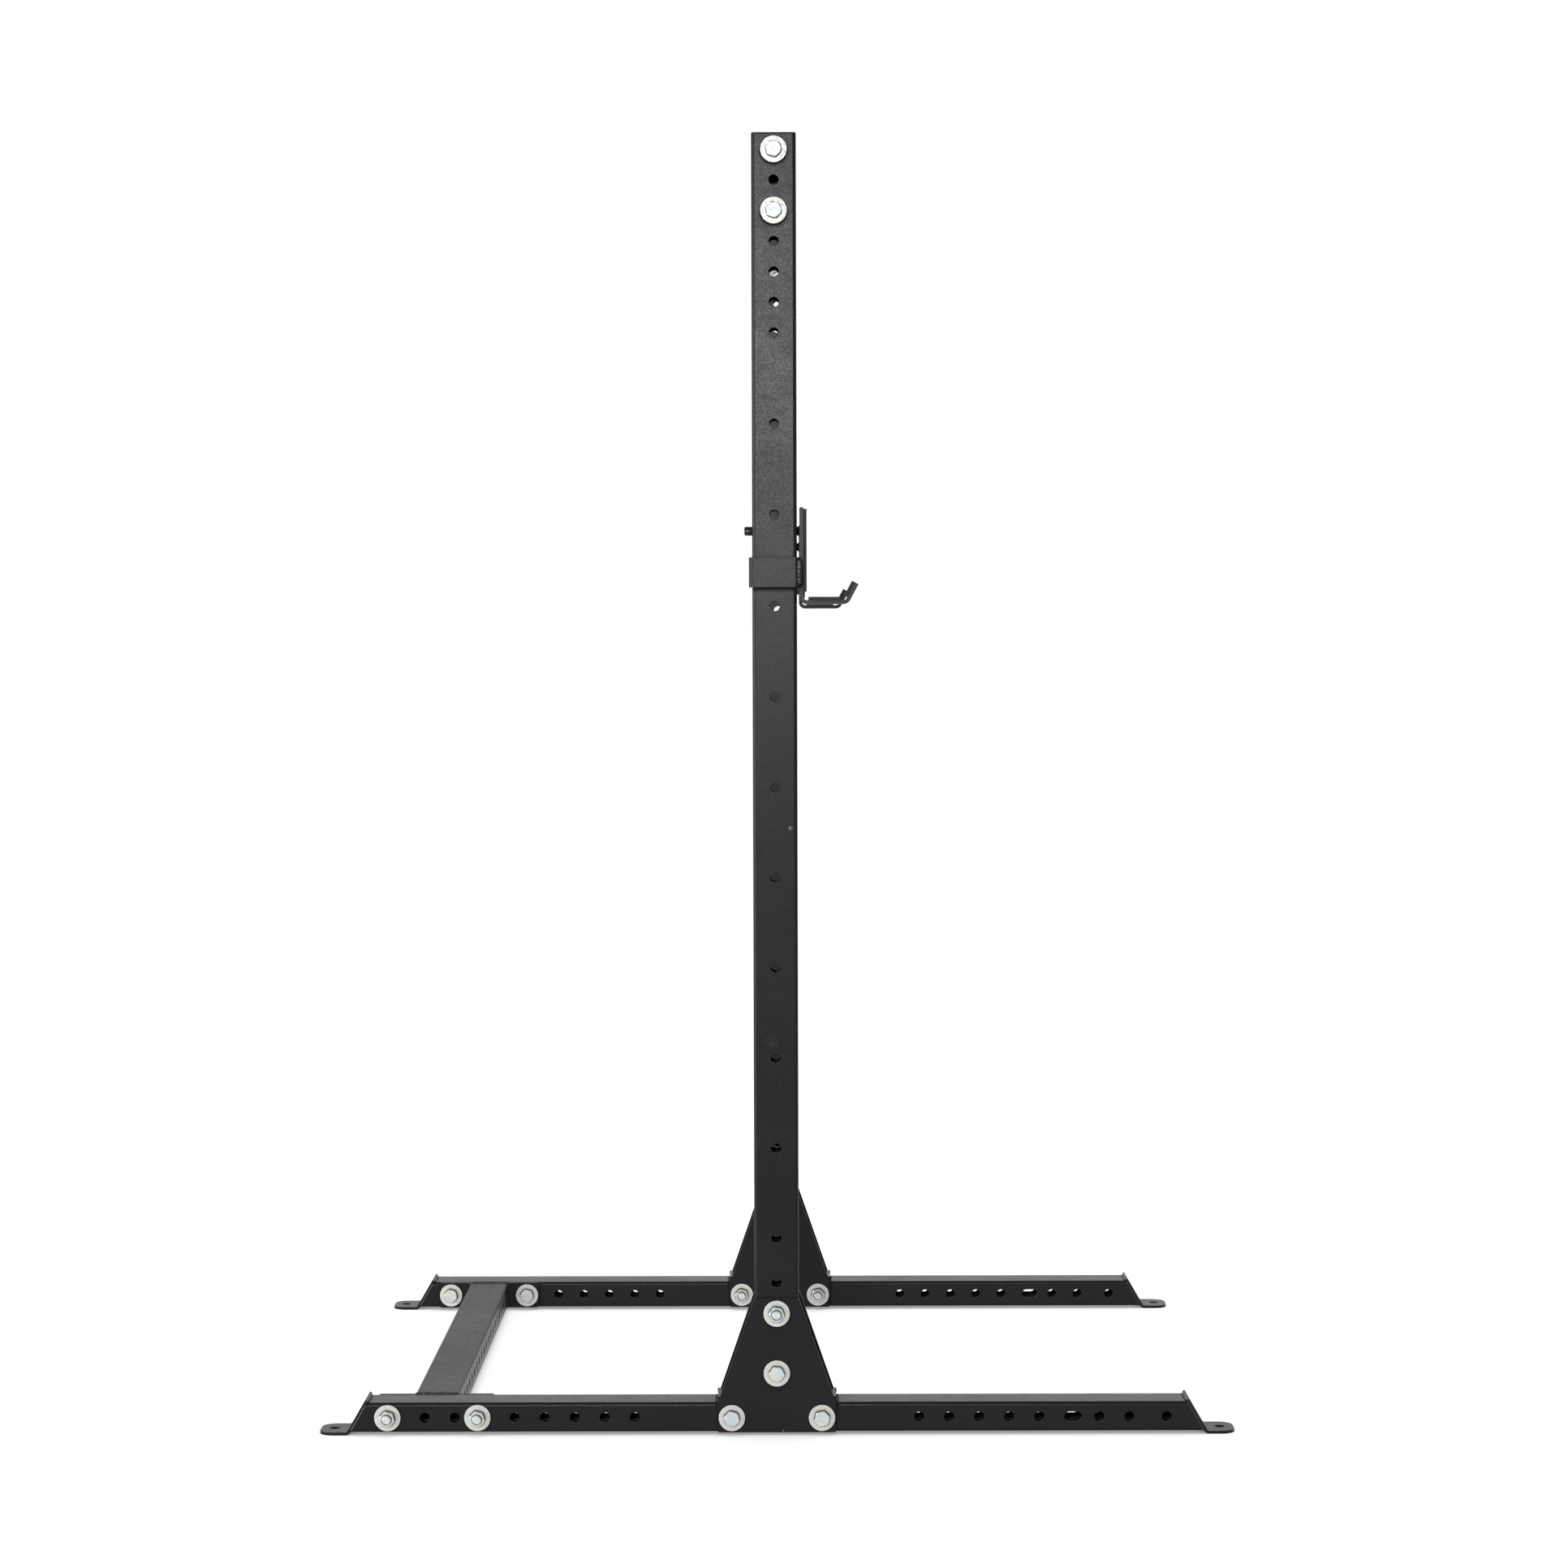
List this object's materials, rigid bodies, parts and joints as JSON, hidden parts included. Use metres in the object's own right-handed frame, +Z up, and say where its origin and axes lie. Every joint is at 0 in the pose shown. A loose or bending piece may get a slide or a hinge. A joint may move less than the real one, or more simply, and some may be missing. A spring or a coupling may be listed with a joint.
{
  "type": "squat stand",
  "caption": "Free-standing squat stand: uprights on long base rails, joined at floor and top, with swinging hook-shaped cups that hold a barbell.",
  "frame": {"origin": "on the floor, midway between the uprights and between the ends of the rails", "axes": "+X to the front, the side of the J-cups; +Y to the lifter's right; +Z up"},
  "size_m": [1.553, 1.2966, 2.1916],
  "materials": {
    "powder_coat": "black powder coat with a fine texture",
    "zinc": "bright zinc plate",
    "cap_plastic": "moulded black plastic",
    "liner_plastic": "black wear-resistant plastic, sawn and milled"
  },
  "bodies": {
    "stand": {"upright_left": "powder_coat", "upright_right": "powder_coat", "upright_cap_left": "cap_plastic", "upright_cap_right": "cap_plastic", "base_rail_left": "powder_coat", "base_rail_right": "powder_coat", "front_foot_plate_left": "powder_coat", "front_foot_plate_right": "powder_coat", "rear_foot_plate_left": "powder_coat", "rear_foot_plate_right": "powder_coat", "gusset_outer_plate_left": "powder_coat", "gusset_outer_plate_right": "powder_coat", "gusset_inner_plate_left": "powder_coat", "gusset_inner_plate_right": "powder_coat", "gusset_base_plate_left": "powder_coat", "gusset_base_plate_right": "powder_coat", "rear_crossmember": "powder_coat", "rear_flange_left": "powder_coat", "rear_flange_right": "powder_coat", "top_crossmember": "powder_coat", "top_flange_left": "powder_coat", "top_flange_right": "powder_coat", "gusset_bolts_left": "zinc", "gusset_bolts_right": "zinc", "gusset_washers_left": "zinc", "gusset_washers_right": "zinc", "gusset_nuts_left": "zinc", "gusset_nuts_right": "zinc", "rear_bolts_left": "zinc", "rear_bolts_right": "zinc", "rear_washers_left": "zinc", "rear_washers_right": "zinc", "rear_nuts_left": "zinc", "rear_nuts_right": "zinc", "top_bolts_left": "zinc", "top_bolts_right": "zinc", "top_washers_left": "zinc", "top_washers_right": "zinc", "top_nuts_left": "zinc", "top_nuts_right": "zinc"},
    "left_j_cup": {"j_cup_hook_left": "powder_coat", "j_cup_pin_left": "powder_coat", "j_cup_collar_left": "powder_coat", "j_cup_back_liner_left": "liner_plastic", "j_cup_saddle_liner_left": "liner_plastic", "j_cup_lip_liner_left": "liner_plastic"},
    "right_j_cup": {"j_cup_hook_right": "powder_coat", "j_cup_pin_right": "powder_coat", "j_cup_collar_right": "powder_coat", "j_cup_back_liner_right": "liner_plastic", "j_cup_saddle_liner_right": "liner_plastic", "j_cup_lip_liner_right": "liner_plastic"}
  },
  "joints": [
    {"name": "left_j_cup_swing", "type": "hinge", "parent": "stand", "child": "left_j_cup", "pos_m": [0, -0.5848, 1.5275], "axis": [-1, 0, 0], "range_deg": [0, 98]},
    {"name": "right_j_cup_swing", "type": "hinge", "parent": "stand", "child": "right_j_cup", "pos_m": [0, 0.5848, 1.5275], "axis": [1, 0, 0], "range_deg": [0, 98]}
  ]
}
